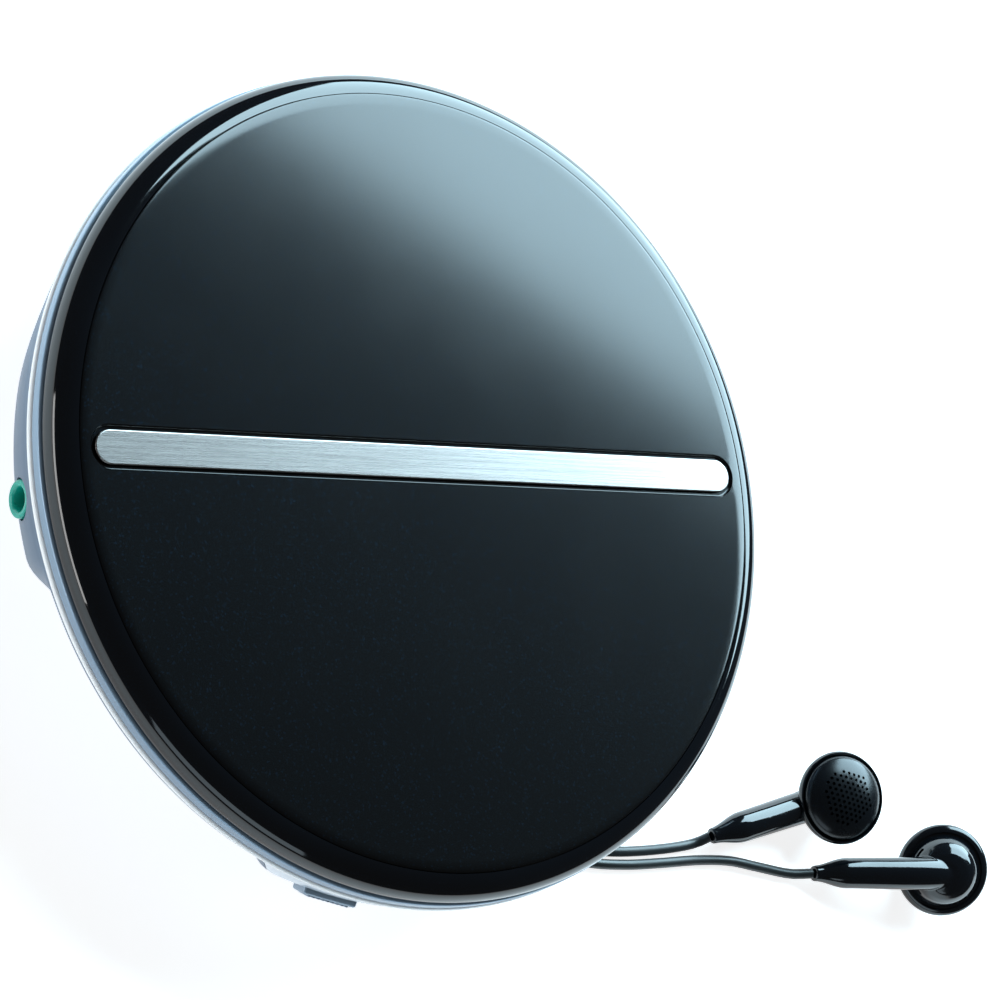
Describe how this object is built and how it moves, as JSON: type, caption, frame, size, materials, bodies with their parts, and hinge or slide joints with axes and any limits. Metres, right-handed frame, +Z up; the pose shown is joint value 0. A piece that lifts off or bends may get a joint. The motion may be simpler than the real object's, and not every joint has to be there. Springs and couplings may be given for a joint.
{
  "type": "portable disc player",
  "caption": "Round portable disc player with hinged lid, control panel, battery bay and optical drive, with in-ear earphones lying beside it.",
  "frame": {"origin": "on the table under the centre of the player", "axes": "+Z up out of the lid, +Y towards the lid hinge, -Y towards the controls, -X towards the headphone jack"},
  "size_m": [0.1943, 0.1403, 0.026],
  "materials": {
    "base_grey": "satin",
    "fascia_silver": "satin",
    "bead_white": "gloss",
    "ring_silver": "satin",
    "lid_gloss": "gloss",
    "lid_flake": "fine flake",
    "strip_brushed": "brushed",
    "black_satin": "satin",
    "steel": "smooth",
    "cell_wrap": "printed sleeve",
    "contact_metal": "bright",
    "jack_teal": "gloss",
    "display_window": "gloss",
    "display_glass": "satin",
    "plunger_white": "satin",
    "board_green": "satin",
    "frame_metal": "satin",
    "lens_glass": "coated",
    "control_silver": "satin",
    "cord_black": "satin",
    "tie_black": "satin",
    "earbud_gloss": "gloss",
    "plug_body": "satin",
    "rubber_black": "matte",
    "grille_black": "satin"
  },
  "bodies": {
    "player": {"base_shell": "base_grey", "case_screw_1": "steel", "case_screw_2": "steel", "cell_1": "cell_wrap", "cell_2": "cell_wrap", "contact_bridge": "contact_metal", "contact_plate": "contact_metal", "contact_spring": "contact_metal", "cord_hank": "cord_black", "cord_splitter": "earbud_gloss", "cord_to_hank": "cord_black", "cord_to_plug": "cord_black", "damper_1": "rubber_black", "damper_2": "rubber_black", "damper_3": "rubber_black", "earbud_grille_left": "grille_black", "earbud_grille_right": "grille_black", "earbud_housing_left": "earbud_gloss", "earbud_housing_right": "earbud_gloss", "foot_1": "rubber_black", "foot_2": "rubber_black", "foot_3": "rubber_black", "foot_4": "rubber_black", "front_fascia": "fascia_silver", "guide_rail": "steel", "hank_tie": "tie_black", "headphone_jack": "black_satin", "hinge_pin": "steel", "jack_ring": "jack_teal", "lcd_module": "display_glass", "lcd_window": "display_window", "lead_left": "cord_black", "lead_right": "cord_black", "main_board": "board_green", "mechanism_frame": "frame_metal", "mid_housing": "ring_silver", "plug": "plug_body", "power_jack": "black_satin", "sled_motor": "frame_metal", "spindle_motor": "frame_metal", "trim_bead": "bead_white"},
    "lid": {"lid_shell": "lid_gloss", "lid_face_plate": "lid_flake", "trim_strip": "strip_brushed", "lid_inner_cover": "black_satin"},
    "open_slider": {"open_slider": "control_silver"},
    "hold_switch": {"hold_switch": "black_satin"},
    "lid_switch": {"lid_switch_plunger": "plunger_white"},
    "turntable": {"turntable": "black_satin"},
    "lead_screw": {"lead_screw": "steel"},
    "sled": {"sled": "black_satin"},
    "lens_unit": {"lens_holder": "black_satin", "lens": "lens_glass"},
    "battery_door": {"battery_door": "base_grey"},
    "previous_button": {"previous_button": "control_silver"},
    "play_button": {"play_button": "control_silver"},
    "next_button": {"next_button": "control_silver"},
    "volume_down_button": {"volume_down_button": "control_silver"},
    "stop_button": {"stop_button": "control_silver"},
    "volume_up_button": {"volume_up_button": "control_silver"}
  },
  "joints": [
    {"name": "lid_hinge", "type": "hinge", "parent": "player", "child": "lid", "pos_m": [0, 0.0669, 0.021], "axis": [-1, 0, 0], "range_deg": [0, 72]},
    {"name": "open_slide", "type": "slide", "parent": "player", "child": "open_slider", "axis": [0.9673, -0.2538, 0], "range_m": [0, 0.0023], "stiffness_N_per_m": 150, "springref_m": -0.001},
    {"name": "hold_slide", "type": "slide", "parent": "player", "child": "hold_switch", "axis": [0.809, 0.5878, 0], "range_m": [0, 0.0024]},
    {"name": "previous_press", "type": "slide", "parent": "player", "child": "previous_button", "axis": [-0.2755, 0.9302, 0.2425], "range_m": [0, 0.0005], "stiffness_N_per_m": 400},
    {"name": "play_press", "type": "slide", "parent": "player", "child": "play_button", "axis": [-0.3791, 0.893, 0.2425], "range_m": [0, 0.0005], "stiffness_N_per_m": 400},
    {"name": "next_press", "type": "slide", "parent": "player", "child": "next_button", "axis": [-0.4777, 0.8444, 0.2425], "range_m": [0, 0.0005], "stiffness_N_per_m": 400},
    {"name": "volume_down_press", "type": "slide", "parent": "player", "child": "volume_down_button", "axis": [-0.2564, 0.8655, 0.4304], "range_m": [0, 0.0005], "stiffness_N_per_m": 400},
    {"name": "stop_press", "type": "slide", "parent": "player", "child": "stop_button", "axis": [-0.3527, 0.8309, 0.4304], "range_m": [0, 0.0005], "stiffness_N_per_m": 400},
    {"name": "volume_up_press", "type": "slide", "parent": "player", "child": "volume_up_button", "axis": [-0.4445, 0.7856, 0.4304], "range_m": [0, 0.0005], "stiffness_N_per_m": 400},
    {"name": "lid_switch_press", "type": "slide", "parent": "player", "child": "lid_switch", "axis": [0, 0, -1], "range_m": [0, 0.0008], "stiffness_N_per_m": 100, "springref_m": -0.0005},
    {"name": "spindle_spin", "type": "hinge", "parent": "player", "child": "turntable", "pos_m": [0, 0, 0.018], "axis": [0, 0, 1], "continuous": true},
    {"name": "lead_screw_spin", "type": "hinge", "parent": "player", "child": "lead_screw", "pos_m": [-0.012, 0.03, 0.01], "axis": [0, 1, 0], "range_deg": [0, 3970]},
    {"name": "sled_travel", "type": "slide", "parent": "player", "child": "sled", "axis": [0, 1, 0], "range_m": [0, 0.033]},
    {"name": "lens_focus", "type": "slide", "parent": "sled", "child": "lens_unit", "axis": [0, 0, 1], "range_m": [-0.0004, 0.0004], "stiffness_N_per_m": 60},
    {"name": "battery_door_hinge", "type": "hinge", "parent": "player", "child": "battery_door", "pos_m": [0.045, 0, 0.0015], "axis": [0, -1, 0], "range_deg": [0, 100]}
  ],
  "couplings": [
    {"joint": "lead_screw_spin", "follows": "sled_travel", "rad_per_m": 2096.4}
  ]
}
